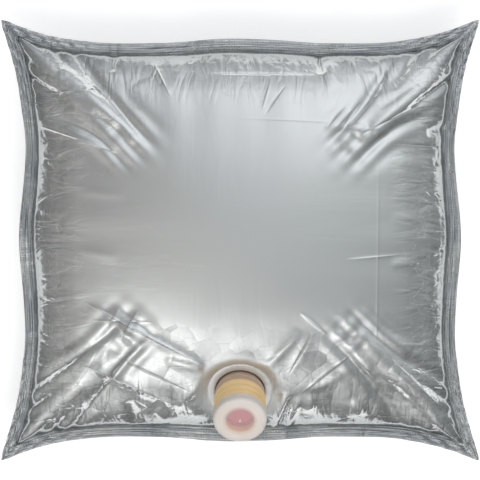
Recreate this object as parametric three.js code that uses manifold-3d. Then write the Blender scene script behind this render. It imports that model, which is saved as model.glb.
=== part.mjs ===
// A filled liquid bladder bag of metallised film, lying on its back, with a capped dispensing fitment
// near one sealed edge. Millimetres, +Z up, the origin on the floor below the middle of the bag.
import * as THREE from 'three';
import { mergeVertices } from 'three/addons/utils/BufferGeometryUtils.js';
import Module from 'manifold-3d';

const wasm = await Module();
wasm.setup();

// Bag: size between the ear tips, heights when filled, and the sealed border
const bagSpanX = 400;
const bagSpanY = 369;
const crownHeight = 108;
const sealHeight = 46;
const sealWidth = 12;
const sealThickness = 0.8;

// Outline of the sealed edges: how far the film is drawn in beside the ears, and the bow between them
const sideDraw = 22.7;
const sideBow = 7.2;
const sideEarPower = 3;
const endDraw = 21;
const endBow = 4.6;
const endEarPower = 5;

// Filled form: roundness of the crown, and the share of the back that lies flat on the floor
const crownPower = 2.6;
const crownShoulder = 0.6;
const floorSpread = 1.55;
const floorShoulder = 1.7;

// Gathers along the seals and creases that run in from the corners
const gatherHeight = 4;
const gatherReach = 30;
const gatherPitch = 47;
const sealWave = 3;
const creaseHeight = 7;
const creaseWidth = 12;
const creaseMiddle = 80;
const creaseLength = 50;
const earDroop = 7;

// Film grid: cells across the bag, cells along it, and how far they crowd towards the seals
const acrossSteps = 46;
const alongSteps = 42;
const edgeCrowding = 0.8;

// Fitment: where its axis leaves the film, and how far it leans towards the near seal
const fitmentFromEnd = 61.8;
const fitmentZ = 85;
const fitmentLean = THREE.MathUtils.degToRad(30);
const roundSteps = 32;
const clearance = 0.3;

// Weld land: the film's flat place, the raised weld ring, its hole, and the spout's flange welded below it
const landRadius = 28.5;
const landFade = 50;
const filmHoleRadius = 20.7;
const landThickness = 0.8;
const weldRadius = 26.5;
const weldHeight = 0.6;
const flangeRadius = 25.6;
const flangeThickness = 1.8;

// Spout: neck with a carton groove below and above its collar
const spoutBore = 17.2;
const neckRadius = 19.2;
const collarRadius = 20.2;
const collarBottom = 3.4;
const collarTop = 6.6;
const spoutTop = 11.3;

// Valve body: ribbed barrel, spigot for the cap, socket for the probe
const ribCount = 3;
const ribPitch = 6.8;
const ribRadius = 21;
const ribValleyRadius = 20.1;
const spigotRadius = 19.7;
const spigotLength = 7.8;
const socketRadius = 12;
const seatLength = 12;
const chamberRadius = 14.4;
const chamberLength = 12;
const webThickness = 2.6;
const portRadius = 2.6;
const portCount = 3;

// Poppet: sealing head on a guided stem, with a ring seal round the head
const poppetDepth = 7.4;
const poppetHeadLength = 4.4;
const stemRadius = 4.6;
const stemBottom = 9.6;
const sealGrooveDepth = 1.6;
const sealGrooveWidth = 2.4;

// Dust cap
const capWall = 1.3;
const capFace = 1.4;
const capEdge = 2.6;
const gateRadius = 1.3;
const gateHeight = 0.35;

const halfX = bagSpanX / 2;
const halfY = bagSpanY / 2;
const fitmentY = fitmentFromEnd - halfY;
const fitmentAxis = new THREE.Vector3(0, -Math.sin(fitmentLean), Math.cos(fitmentLean));
const fitmentBase = new THREE.Vector3(0, fitmentY, fitmentZ);
const ribbedBottom = spoutTop + clearance;
const ribbedTop = ribbedBottom + ribCount * ribPitch;
const mouthHeight = ribbedTop + spigotLength;
const chamberTop = mouthHeight - seatLength;
const webTop = chamberTop - chamberLength;

function plastic(color, roughness) {
  return new THREE.MeshStandardMaterial({ color, roughness, metalness: 0 });
}

const materials = {
  film: new THREE.MeshStandardMaterial({ color: 0xb9bdbf, roughness: 0.28, metalness: 0.95 }),
  spout: plastic(0xd9d2c0, 0.45),
  body: plastic(0xd9b070, 0.4),
  poppet: plastic(0xb4303c, 0.45),
  seal: plastic(0x2a2a2a, 0.7),
  cap: plastic(0xe4ddd4, 0.4),
};
materials.cap.transparent = true;
materials.cap.opacity = 0.6;

function solidFrom(geometry) {
  const bare = geometry.clone();
  for (const name of Object.keys(bare.attributes)) {
    if (name !== 'position') bare.deleteAttribute(name);
  }
  const merged = mergeVertices(bare, 1e-3);
  return new wasm.Manifold(new wasm.Mesh({
    numProp: 3,
    vertProperties: new Float32Array(merged.attributes.position.array),
    triVerts: new Uint32Array(merged.index.array),
  }));
}

function geometryFrom(solid) {
  const mesh = solid.getMesh();
  const geometry = new THREE.BufferGeometry();
  geometry.setAttribute('position', new THREE.BufferAttribute(new Float32Array(mesh.vertProperties), 3));
  geometry.setIndex(new THREE.BufferAttribute(new Uint32Array(mesh.triVerts), 1));
  geometry.computeVertexNormals();
  return geometry;
}

// Grid lines across the film from -1 to 1, closer near the seals, with one on each seal's inner edge
function filmLines(cells, sealShare) {
  const inner = 1 - sealShare;
  const innerCells = cells - 2;
  const quarter = edgeCrowding * Math.PI / 2;
  const lines = [-1];
  for (let i = 0; i <= innerCells; i++) {
    lines.push(inner * Math.sin(quarter * (2 * i / innerCells - 1)) / Math.sin(quarter));
  }
  lines.push(1);
  return lines;
}

// How far an edge is drawn in at a place between its two ears, -1 to 1
function edgeDraw(along, draw, bow, power) {
  const a = Math.abs(along);
  const bulge = a < 0.5 ? bow * Math.cos(Math.PI * a) ** 2 : 0;
  return draw * (1 - a ** power) - bulge;
}

// Height share of the filled film, 0 on the seals and 1 at the middle
function fullness(u, v) {
  const inU = Math.min(1, Math.abs(u) / (1 - sealWidth / halfX));
  const inV = Math.min(1, Math.abs(v) / (1 - sealWidth / halfY));
  return ((1 - inU ** crownPower) * (1 - inV ** crownPower)) ** crownShoulder;
}

// Uneven wave along a seal: two pitches that never line up
function unevenWave(along, pitch, phase) {
  const turn = 2 * Math.PI * along / pitch;
  return 0.6 * Math.sin(turn + phase) + 0.4 * Math.sin(1.63 * turn + 2.1 * phase);
}

// Height of the seals at a place: they hang wavy between the ears and droop at them
function seamHeight(x, y, u, v) {
  const ear = Math.abs(u * v) ** 6;
  const wave = Math.abs(u) ** 9 * unevenWave(y, 2 * gatherPitch, 0.7)
    + Math.abs(v) ** 8 * unevenWave(x, 2 * gatherPitch, 1.9);
  return sealHeight - earDroop * ear + sealWave * wave * (1 - ear);
}

function hump(offset, width) {
  return Math.exp(-((offset / width) ** 2));
}

// Folds of the film: gathers that die away from each seal, and creases along the corner diagonals
function folds(x, y, u, v) {
  const fromSide = (1 - Math.abs(u)) * halfX;
  const fromEnd = (1 - Math.abs(v)) * halfY;
  const gathers = gatherHeight * (
    unevenWave(y, gatherPitch, Math.sign(u)) * Math.exp(-fromSide / gatherReach)
    + unevenWave(x, gatherPitch, 2 + Math.sign(v)) * Math.exp(-fromEnd / gatherReach));
  const offDiagonal = (fromSide - fromEnd) / Math.SQRT2;
  const alongDiagonal = (fromSide + fromEnd) / Math.SQRT2;
  const ridge = hump(offDiagonal, creaseWidth) - 0.5 * hump(offDiagonal - 2 * creaseWidth, creaseWidth);
  return gathers + creaseHeight * ridge * hump(alongDiagonal - creaseMiddle, creaseLength);
}

function smoothStep(low, high, value) {
  const t = Math.min(1, Math.max(0, (value - low) / (high - low)));
  return t * t * (3 - 2 * t);
}

// Draws a point of the top film onto the plane of the weld land where it is near the fitment
function pressToLand(point) {
  const fromBase = point.clone().sub(fitmentBase);
  const height = fromBase.dot(fitmentAxis);
  const radial = fromBase.addScaledVector(fitmentAxis, -height).length();
  const hold = 1 - smoothStep(landRadius, landFade, radial);
  return point.addScaledVector(fitmentAxis, -height * hold);
}

function filmPoint(u, v, isTop) {
  const x = halfX * u - Math.sign(u) * edgeDraw(v, sideDraw, sideBow, sideEarPower) * Math.abs(u) ** 3;
  const y = halfY * v - Math.sign(v) * edgeDraw(u, endDraw, endBow, endEarPower) * Math.abs(v) ** 3;
  const full = fullness(u, v);
  const seam = seamHeight(x, y, u, v);
  const fold = folds(x, y, u, v) * Math.min(1, 6 * full);
  if (isTop) {
    const rise = (crownHeight - sealHeight) * full + fold;
    return pressToLand(new THREE.Vector3(x, y, seam + sealThickness / 2 + rise));
  }
  const settled = 1 - (1 - Math.min(1, floorSpread * full)) ** floorShoulder;
  const slack = 1 - settled;
  const z = (seam - sealThickness / 2 - 0.5 * fold) * slack;
  return new THREE.Vector3(x, y, Math.max(0, z));
}

// Turns the diagonal of each cell towards the nearest corner of the bag, the way the corner creases run
function turnDiagonals(geometry) {
  const position = geometry.attributes.position;
  const corners = geometry.index.array;
  for (let i = 0; i < corners.length; i += 6) {
    const [a, b, d, , c] = corners.slice(i, i + 6);
    const run = position.getX(d) - position.getX(b);
    const rise = position.getY(d) - position.getY(b);
    const quadrant = (position.getX(b) + position.getX(d)) * (position.getY(b) + position.getY(d));
    if (run * rise * quadrant < 0) corners.set([a, b, c, a, c, d], i);
  }
}

// The filled bag: both films and their sealed border as one closed solid, pocketed for the spout's flange
function bagGeometry() {
  const linesX = filmLines(acrossSteps, sealWidth / halfX);
  const linesY = filmLines(alongSteps, sealWidth / halfY);
  const geometry = new THREE.BoxGeometry(2, 2, 2, acrossSteps, alongSteps, 1);
  const position = geometry.attributes.position;
  for (let i = 0; i < position.count; i++) {
    const u = linesX[Math.round((position.getX(i) + 1) / 2 * acrossSteps)];
    const v = linesY[Math.round((position.getY(i) + 1) / 2 * alongSteps)];
    const p = filmPoint(u, v, position.getZ(i) > 0);
    position.setXYZ(i, p.x, p.y, p.z);
  }
  turnDiagonals(geometry);
  const weldRing = latheOf([
    [0, -landThickness / 2],
    [weldRadius, -landThickness / 2],
    [weldRadius, weldHeight],
    [0, weldHeight],
  ]);
  const pocketTop = -landThickness;
  const pocketBottom = pocketTop - flangeThickness - 2 * clearance;
  const pocket = latheOf([
    [0, pocketBottom],
    [flangeRadius + clearance, pocketBottom],
    [flangeRadius + clearance, pocketTop],
    [filmHoleRadius, pocketTop],
    [filmHoleRadius, 2 * weldHeight],
    [0, 2 * weldHeight],
  ]);
  const filled = solidFrom(geometry).add(solidFrom(toFitmentPlace(weldRing)));
  return geometryFrom(filled.subtract(solidFrom(toFitmentPlace(pocket))));
}

// A turned piece from its profile of [radius, height] points, closed on itself or on the axis
function latheOf(profile) {
  return new THREE.LatheGeometry(profile.map(([r, h]) => new THREE.Vector2(r, h)), roundSteps);
}

function toFitmentPlace(geometry) {
  return geometry.rotateX(Math.PI / 2 + fitmentLean).translate(0, fitmentY, fitmentZ);
}

function closed(profile) {
  return [...profile, profile[0]];
}

function spoutGeometry() {
  const flangeTop = -landThickness - clearance;
  const flangeBottom = flangeTop - flangeThickness;
  const rimRound = 0.6;
  return latheOf(closed([
    [spoutBore, flangeBottom],
    [flangeRadius - rimRound, flangeBottom],
    [flangeRadius, flangeBottom + rimRound],
    [flangeRadius, flangeTop],
    [neckRadius, flangeTop],
    [neckRadius, collarBottom],
    [collarRadius, collarBottom + rimRound],
    [collarRadius, collarTop - rimRound],
    [neckRadius, collarTop],
    [neckRadius, spoutTop],
    [spoutBore, spoutTop],
  ]));
}

function ribbedProfile() {
  const profile = [];
  for (let i = 0; i < ribCount; i++) {
    const start = ribbedBottom + i * ribPitch;
    profile.push(
      [ribValleyRadius, start],
      [ribRadius, start + 0.24 * ribPitch],
      [ribRadius, start + 0.76 * ribPitch],
    );
  }
  profile.push([ribValleyRadius, ribbedTop]);
  return profile;
}

function valveBodyGeometry() {
  const plugRadius = spoutBore - clearance;
  const plugBottom = -landThickness - flangeThickness;
  const mouthChamfer = 0.8;
  const webBottom = webTop - webThickness;
  const body = latheOf(closed([
    [chamberRadius, plugBottom],
    [plugRadius, plugBottom],
    [plugRadius, ribbedBottom],
    ...ribbedProfile(),
    [spigotRadius, ribbedTop],
    [spigotRadius, mouthHeight - mouthChamfer],
    [spigotRadius - mouthChamfer, mouthHeight],
    [socketRadius + mouthChamfer, mouthHeight],
    [socketRadius, mouthHeight - mouthChamfer],
    [socketRadius, chamberTop],
    [chamberRadius, chamberTop - (chamberRadius - socketRadius)],
    [chamberRadius, webTop],
    [stemRadius + clearance, webTop],
    [stemRadius + clearance, webBottom],
    [chamberRadius, webBottom],
  ]));
  let solid = solidFrom(body);
  const portCentre = (chamberRadius + stemRadius) / 2;
  for (let i = 0; i < portCount; i++) {
    const angle = 2 * Math.PI * i / portCount;
    const port = new THREE.CylinderGeometry(portRadius, portRadius, 2 * webThickness, 12);
    port.translate(portCentre * Math.cos(angle), webTop - webThickness / 2, portCentre * Math.sin(angle));
    solid = solid.subtract(solidFrom(port));
  }
  return geometryFrom(solid);
}

const poppetFace = mouthHeight - poppetDepth;
const headBottom = poppetFace - poppetHeadLength;
const grooveMiddle = (poppetFace + headBottom) / 2;

function poppetGeometry() {
  const headRadius = socketRadius - clearance;
  const dishRadius = headRadius - 2.2;
  const dishDepth = 0.8;
  const stemRound = 1;
  return latheOf([
    [0, stemBottom],
    [stemRadius - stemRound, stemBottom],
    [stemRadius, stemBottom + stemRound],
    [stemRadius, headBottom],
    [headRadius, headBottom],
    [headRadius, grooveMiddle - sealGrooveWidth / 2],
    [headRadius - sealGrooveDepth, grooveMiddle - sealGrooveWidth / 2],
    [headRadius - sealGrooveDepth, grooveMiddle + sealGrooveWidth / 2],
    [headRadius, grooveMiddle + sealGrooveWidth / 2],
    [headRadius, poppetFace],
    [dishRadius, poppetFace],
    [dishRadius, poppetFace - dishDepth],
    [0, poppetFace - dishDepth],
  ]);
}

function poppetSealGeometry() {
  const inner = socketRadius - clearance - sealGrooveDepth + 0.25;
  const outer = socketRadius - 0.2;
  const middle = (inner + outer) / 2;
  const reach = sealGrooveWidth / 2 - 0.25;
  return latheOf(closed([
    [inner, grooveMiddle - reach / 2],
    [middle, grooveMiddle - reach],
    [outer, grooveMiddle - reach / 2],
    [outer, grooveMiddle + reach / 2],
    [middle, grooveMiddle + reach],
    [inner, grooveMiddle + reach / 2],
  ]));
}

function dustCapGeometry() {
  const innerRadius = spigotRadius + clearance;
  const outerRadius = innerRadius + capWall;
  const skirtBottom = ribbedTop + clearance;
  const innerFace = mouthHeight + clearance;
  const outerFace = innerFace + capFace;
  const edge = [];
  const edgeSteps = 4;
  for (let i = 0; i <= edgeSteps; i++) {
    const angle = Math.PI / 2 * i / edgeSteps;
    edge.push([
      outerRadius - capEdge + capEdge * Math.cos(angle),
      outerFace - capEdge + capEdge * Math.sin(angle),
    ]);
  }
  return latheOf([
    [0, innerFace],
    [innerRadius, innerFace],
    [innerRadius, skirtBottom],
    [outerRadius, skirtBottom],
    ...edge,
    [gateRadius, outerFace],
    [gateRadius * 0.7, outerFace + gateHeight],
    [0, outerFace + gateHeight],
  ]);
}

function namedMesh(name, geometry, material) {
  const mesh = new THREE.Mesh(geometry, material);
  mesh.name = name;
  return mesh;
}

const fitment = new THREE.Group();
fitment.position.copy(fitmentBase);
fitment.rotation.x = Math.PI / 2 + fitmentLean;
fitment.add(
  namedMesh('spout', spoutGeometry(), materials.spout),
  namedMesh('valve_body', valveBodyGeometry(), materials.body),
  namedMesh('poppet', poppetGeometry(), materials.poppet),
  namedMesh('poppet_seal', poppetSealGeometry(), materials.seal),
  namedMesh('dust_cap', dustCapGeometry(), materials.cap),
);

const bladder = new THREE.Group();
bladder.add(namedMesh('bag', bagGeometry(), materials.film), fitment);

export default bladder;
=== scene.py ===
from math import cos, pi, radians, sin

import bmesh
import bpy
import numpy as np
from mathutils import Matrix, Vector


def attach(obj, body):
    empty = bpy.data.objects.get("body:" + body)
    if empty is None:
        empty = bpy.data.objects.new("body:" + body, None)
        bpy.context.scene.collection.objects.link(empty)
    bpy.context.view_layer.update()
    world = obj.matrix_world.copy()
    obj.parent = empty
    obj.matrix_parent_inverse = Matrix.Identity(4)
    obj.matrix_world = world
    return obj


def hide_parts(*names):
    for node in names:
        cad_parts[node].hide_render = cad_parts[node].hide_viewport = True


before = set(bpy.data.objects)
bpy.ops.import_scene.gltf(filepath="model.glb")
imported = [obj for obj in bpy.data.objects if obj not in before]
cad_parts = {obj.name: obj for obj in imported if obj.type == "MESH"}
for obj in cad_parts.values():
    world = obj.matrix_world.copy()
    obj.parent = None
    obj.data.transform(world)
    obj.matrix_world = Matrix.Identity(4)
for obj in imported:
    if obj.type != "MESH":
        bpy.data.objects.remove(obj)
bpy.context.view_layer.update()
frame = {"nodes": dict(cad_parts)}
scene = bpy.context.scene
print("frame loaded:", ", ".join(frame["nodes"]))

# where the fitment's axis leaves the film, in metres, as the CAD has it
fitment = dict(base=Vector((0, -0.1227, 0.085)), lean=radians(30))
fitmentAxis = Vector((0, -sin(fitment["lean"]), cos(fitment["lean"])))


def makeMaterial(name):
    material = bpy.data.materials.new(name)
    material.use_nodes = True
    return material, material.node_tree, material.node_tree.nodes["Principled BSDF"]


def feed(tree, node, inputs):
    # a socket is linked to its input, and anything else is set as the input's value
    for key, value in inputs.items():
        if isinstance(value, bpy.types.NodeSocket):
            tree.links.new(value, node.inputs[key])
        else:
            node.inputs[key].default_value = value


def addNode(tree, kind, inputs=None, **settings):
    node = tree.nodes.new(kind)
    for key, value in settings.items():
        setattr(node, key, value)
    feed(tree, node, inputs or {})
    return node


def maths(tree, operation, first, second=0.0, third=0.0):
    return addNode(tree, "ShaderNodeMath", {0: first, 1: second, 2: third}, operation=operation).outputs[0]


def product(tree, first, *others):
    for other in others:
        first = maths(tree, "MULTIPLY", first, other)
    return first


def vectorMaths(tree, operation, first, second=(0, 0, 0)):
    inputs = {0: first, "Scale" if operation == "SCALE" else 1: second}
    outputs = addNode(tree, "ShaderNodeVectorMath", inputs, operation=operation).outputs
    return outputs["Value" if operation in ("DISTANCE", "DOT_PRODUCT", "LENGTH") else "Vector"]


def splitPlace(tree, place):
    return addNode(tree, "ShaderNodeSeparateXYZ", {0: place}).outputs


def addNoise(tree, place, scale, detail, distortion=0.0):
    return addNode(tree, "ShaderNodeTexNoise", {
        "Vector": place, "Scale": scale, "Detail": detail, "Distortion": distortion}).outputs


def rampOf(tree, share, stops):
    # each stop is a share from 0 to 1, with a grey or a colour
    ramp = addNode(tree, "ShaderNodeValToRGB", {0: share})
    while len(ramp.color_ramp.elements) < len(stops):
        ramp.color_ramp.elements.new(0.5)
    for element, (place, tone) in zip(ramp.color_ramp.elements, stops):
        element.position = place
        element.color = (*(tone if isinstance(tone, tuple) else (tone,) * 3), 1)
    return ramp.outputs[0]


def mapRange(tree, value, low, high, atLow=0.0, atHigh=1.0, smooth=True):
    return addNode(tree, "ShaderNodeMapRange", {
        "Value": value, "From Min": low, "From Max": high, "To Min": atLow, "To Max": atHigh,
    }, interpolation_type="SMOOTHSTEP" if smooth else "LINEAR").outputs[0]


def mixColours(tree, share, first, second):
    colours = [colour if isinstance(colour, bpy.types.NodeSocket) else (*colour, 1) for colour in (first, second)]
    return addNode(tree, "ShaderNodeMix", {0: share, 6: colours[0], 7: colours[1]}, data_type="RGBA").outputs[2]


def addBump(tree, height, finish):
    return addNode(tree, "ShaderNodeBump", {
        "Height": height, "Strength": finish["reliefStrength"], "Distance": finish["reliefDepth"]}).outputs[0]


def newGroup(name, inputs, outputs, kind="ShaderNodeTree"):
    tree = bpy.data.node_groups.new(name, kind)
    for way, sockets in (("INPUT", inputs), ("OUTPUT", outputs)):
        for label, socketKind in sockets.items():
            tree.interface.new_socket(label, in_out=way, socket_type="NodeSocket" + socketKind)
    return tree, tree.nodes.new("NodeGroupInput").outputs, tree.nodes.new("NodeGroupOutput")


def useGroup(tree, group, **inputs):
    return addNode(tree, "ShaderNodeGroup", inputs, node_tree=group).outputs


def axisDistance(tree, place):
    # how far a place is from the fitment's axis
    away = vectorMaths(tree, "SUBTRACT", place, fitment["base"])
    return vectorMaths(tree, "LENGTH", vectorMaths(tree, "CROSS_PRODUCT", away, fitmentAxis))


# thin film's crumples: each layer is a share of the whole and how much finer its cells are
crumples = dict(warpScale=38.0, warp=0.004, borderReach=0.12, borderHeight=0.16, tilt=34.0,
                layers=((1.0, 1.0), (0.45, 2.7)))


def makeCrumpleGroup():
    # cells on a warped place: each is a leaning facet with a sharp crease along its border
    tree, given, result = newGroup("filmCrumple", {"Place": "Vector", "Scale": "Float"},
                                   {"Height": "Float", "Facets": "Float"})
    middle = (0.5, 0.5, 0.5)
    noise = addNoise(tree, given["Place"], crumples["warpScale"], 3.0)["Color"]
    shift = vectorMaths(tree, "SCALE", vectorMaths(tree, "SUBTRACT", noise, middle), crumples["warp"])
    place = vectorMaths(tree, "ADD", given["Place"], shift)

    def cells(scale, feature):
        return addNode(tree, "ShaderNodeTexVoronoi", {"Vector": place, "Scale": scale}, feature=feature).outputs

    height = None
    for share, finer in crumples["layers"]:
        scale = product(tree, given["Scale"], finer)
        border = maths(tree, "MINIMUM", cells(scale, "DISTANCE_TO_EDGE")["Distance"], crumples["borderReach"])
        border = product(tree, border, crumples["borderHeight"] * share / finer)
        facet = cells(scale, "F1")
        inCell = vectorMaths(tree, "SUBTRACT", place, facet["Position"])
        lean = vectorMaths(tree, "SUBTRACT", facet["Color"], middle)
        tilt = product(tree, vectorMaths(tree, "DOT_PRODUCT", inCell, lean), crumples["tilt"] * share)
        layer = maths(tree, "ADD", border, tilt)
        height = layer if height is None else maths(tree, "ADD", height, layer)
    tones = cells(given["Scale"], "F1")["Color"]
    facets = addNode(tree, "ShaderNodeSeparateColor", {0: tones}).outputs[0]
    feed(tree, result, {"Height": height, "Facets": facets})
    return tree


def makeCreaseGroup():
    # one straight crease on the upper film, from one place to another seen from above
    tree, given, result = newGroup("filmCreaseLine", {
        "Place": "Vector", "From": "Vector", "Along": "Vector", "Width": "Float", "Depth": "Float",
    }, {"Height": "Float"})
    along = given["Along"]
    flat = vectorMaths(tree, "MULTIPLY", given["Place"], (1, 1, 0))
    away = vectorMaths(tree, "SUBTRACT", flat, given["From"])
    share = maths(tree, "DIVIDE", vectorMaths(tree, "DOT_PRODUCT", away, along),
                  vectorMaths(tree, "DOT_PRODUCT", along, along))
    share = addNode(tree, "ShaderNodeClamp", {0: share}).outputs[0]
    gap = vectorMaths(tree, "DISTANCE", away, vectorMaths(tree, "SCALE", along, share))
    near = maths(tree, "DIVIDE", gap, given["Width"])
    ridge = maths(tree, "DIVIDE", 1.0, maths(tree, "MULTIPLY_ADD", near, near, 1.0))
    taper = product(tree, share, maths(tree, "SUBTRACT", 1.0, share), 4.0)
    feed(tree, result, {"Height": product(tree, ridge, taper, given["Depth"])})
    return tree


# fine gathers beside the seals: how long they are drawn out, and where those of the ends meet those of the sides
gathering = dict(scale=75.0, distortion=0.6, drawnOut=0.22, upward=0.3, meeting=0.03)


def makeGatherGroup():
    # shallow gathers that run in from the nearest seal: along Y near the ends, along X near the sides
    tree, given, result = newGroup("filmGathers", {"Place": "Vector"}, {"Height": "Float"})
    parts = splitPlace(tree, given["Place"])
    fromSide = maths(tree, "SUBTRACT", halfX, maths(tree, "ABSOLUTE", parts["X"]))
    fromEnd = maths(tree, "SUBTRACT", halfY, maths(tree, "ABSOLUTE", parts["Y"]))
    nearEnd = mapRange(tree, maths(tree, "SUBTRACT", fromSide, fromEnd), -gathering["meeting"], gathering["meeting"])
    nearSide = maths(tree, "SUBTRACT", 1.0, nearEnd)
    drawnOut, upward = gathering["drawnOut"], gathering["upward"]
    height = None
    for stretch, share in (((1, drawnOut, upward), nearEnd), ((drawnOut, 1, upward), nearSide)):
        place = vectorMaths(tree, "MULTIPLY", given["Place"], stretch)
        noise = addNoise(tree, place, gathering["scale"], 2.5, gathering["distortion"])[0]
        sharp = maths(tree, "ABSOLUTE", maths(tree, "SUBTRACT", noise, 0.5))
        part = product(tree, sharp, share)
        height = part if height is None else maths(tree, "ADD", height, part)
    feed(tree, result, {"Height": height})
    return tree


# moulded plastic's surface
moulding = dict(cloudScale=60.0, grainScale=900.0, scuffScale=260.0, scuffStretch=(1, 1, 9),
                scuffTurn=(0.5, 0.2, 0.4), scuffStops=[(0.60, 0.0), (0.72, 1.0)])


def makeMouldedGroup():
    # a cloudy tone, a fine grain and a few handling scuffs
    tree, given, result = newGroup("mouldedSurface", {"Place": "Vector"},
                                   {"Cloud": "Float", "Grain": "Float", "Scuffs": "Float"})
    place = given["Place"]
    stretched = addNode(tree, "ShaderNodeMapping", {
        "Vector": place, "Scale": moulding["scuffStretch"], "Rotation": moulding["scuffTurn"]}).outputs[0]
    lines = addNoise(tree, stretched, moulding["scuffScale"], 5.0)[0]
    feed(tree, result, {
        "Cloud": addNoise(tree, place, moulding["cloudScale"], 4.0)[0],
        "Grain": addNoise(tree, place, moulding["grainScale"], 2.0)[0],
        "Scuffs": rampOf(tree, lines, moulding["scuffStops"])})
    return tree


# the filled bag, in metres: size and form as the CAD has them
bag = dict(
    spanX=0.400, spanY=0.369, crownHeight=0.108, sealHeight=0.046, sealWidth=0.012, sealThickness=0.0008,
    sideDraw=0.0227, sideBow=0.0072, sideEarPower=3, endDraw=0.021, endBow=0.0046, endEarPower=5, drawPower=3,
    crownPower=2.6, crownShoulder=0.6, floorSpread=1.55, floorShoulder=1.7,
    gatherHeight=0.004, gatherReach=0.030, gatherPitch=0.047, sealWave=0.003, sideWavePower=9, endWavePower=8,
    creaseHeight=0.007, creaseWidth=0.012, creaseMiddle=0.080, creaseLength=0.050, foldFade=6,
    earDroop=0.007, earPower=6, landRadius=0.0272, landFade=0.036, weldRadius=0.0265, weldHeight=0.0010,
    heldRadius=0.0272, heldHeight=0.01, spoutClear=0.0192, spoutClearHeight=0.02, spoutDent=0.0036,
)
# the film before it was filled, how it is pressed out by the liquid, and where it crumples
relaxing = dict(
    flatX=0.418, flatY=0.388, volume=0.0091, liquidPush=0.00003, shear=0.6, bend=0.04, lastBend=0.08,
    damping=0.96, holdSeal=0.12, holdFilm=0.004, passes=((47, 44, 400), (93, 87, 400), (185, 173, 300)),
    cornerReach=0.095, hipWidth=0.045, hipReach=0.20, sealShare=0.8, sealReach=0.030,
    spoutShare=0.15, spoutReach=0.050, leastResist=0.04,
)
halfX = bag["spanX"] / 2
halfY = bag["spanY"] / 2
baseArray = np.array(fitment["base"])
axisArray = np.array(fitmentAxis)


def edgeDraw(along, draw, bow, power):
    # how far an edge is drawn in: most between two ears, less where it bows out in the middle
    a = np.abs(along)
    bulge = np.where(a < 0.5, bow * np.cos(pi * a) ** 2, 0)
    return draw * (1 - a ** power) - bulge


def fullness(u, v):
    inU = np.minimum(1, np.abs(u) / (1 - bag["sealWidth"] / halfX))
    inV = np.minimum(1, np.abs(v) / (1 - bag["sealWidth"] / halfY))
    return ((1 - inU ** bag["crownPower"]) * (1 - inV ** bag["crownPower"])) ** bag["crownShoulder"]


def unevenWave(along, pitch, phase):
    turn = 2 * pi * along / pitch
    return 0.6 * np.sin(turn + phase) + 0.4 * np.sin(1.63 * turn + 2.1 * phase)


def hump(offset, width):
    return np.exp(-((offset / width) ** 2))


def seamHeight(x, y, u, v):
    ear = np.abs(u * v) ** bag["earPower"]
    pitch = 2 * bag["gatherPitch"]
    wave = (np.abs(u) ** bag["sideWavePower"] * unevenWave(y, pitch, 0.7)
            + np.abs(v) ** bag["endWavePower"] * unevenWave(x, pitch, 1.9))
    return bag["sealHeight"] - bag["earDroop"] * ear + bag["sealWave"] * wave * (1 - ear)


def formFolds(x, y, u, v):
    fromSide = (1 - np.abs(u)) * halfX
    fromEnd = (1 - np.abs(v)) * halfY
    gathers = bag["gatherHeight"] * (
        unevenWave(y, bag["gatherPitch"], np.sign(u)) * np.exp(-fromSide / bag["gatherReach"])
        + unevenWave(x, bag["gatherPitch"], 2 + np.sign(v)) * np.exp(-fromEnd / bag["gatherReach"]))
    off = (fromSide - fromEnd) / 2 ** 0.5
    along = (fromSide + fromEnd) / 2 ** 0.5
    ridge = hump(off, bag["creaseWidth"]) - 0.5 * hump(off - 2 * bag["creaseWidth"], bag["creaseWidth"])
    return gathers + bag["creaseHeight"] * ridge * hump(along - bag["creaseMiddle"], bag["creaseLength"])


def smoothStep(low, high, value):
    t = np.clip((value - low) / (high - low), 0, 1)
    return t * t * (3 - 2 * t)


def landPlace(points):
    # how high points are over the spout's land, and how far from its axis
    offset = points - baseArray
    height = offset @ axisArray
    return height, np.linalg.norm(offset - height[..., None] * axisArray, axis=-1)


def formPoints(u, v, isTop):
    sideDraw = edgeDraw(v, bag["sideDraw"], bag["sideBow"], bag["sideEarPower"])
    endDraw = edgeDraw(u, bag["endDraw"], bag["endBow"], bag["endEarPower"])
    x = halfX * u - np.sign(u) * sideDraw * np.abs(u) ** bag["drawPower"]
    y = halfY * v - np.sign(v) * endDraw * np.abs(v) ** bag["drawPower"]
    full = fullness(u, v)
    seam = seamHeight(x, y, u, v)
    fold = formFolds(x, y, u, v) * np.minimum(1, bag["foldFade"] * full)
    if isTop:
        points = np.stack((x, y, seam + (bag["crownHeight"] - bag["sealHeight"]) * full + fold), axis=-1)
        height, radial = landPlace(points)
        hold = 1 - smoothStep(bag["landRadius"], bag["landFade"], radial)
        return points - (height * hold)[..., None] * axisArray
    settled = 1 - (1 - np.minimum(1, bag["floorSpread"] * full)) ** bag["floorShoulder"]
    return np.stack((x, y, np.maximum(0, (seam - 0.5 * fold) * (1 - settled))), axis=-1)


def formSheets(countX, countY):
    u, v = np.meshgrid(np.linspace(-1, 1, countX), np.linspace(-1, 1, countY))
    return np.stack((formPoints(u, v, True), formPoints(u, v, False)))


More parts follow.
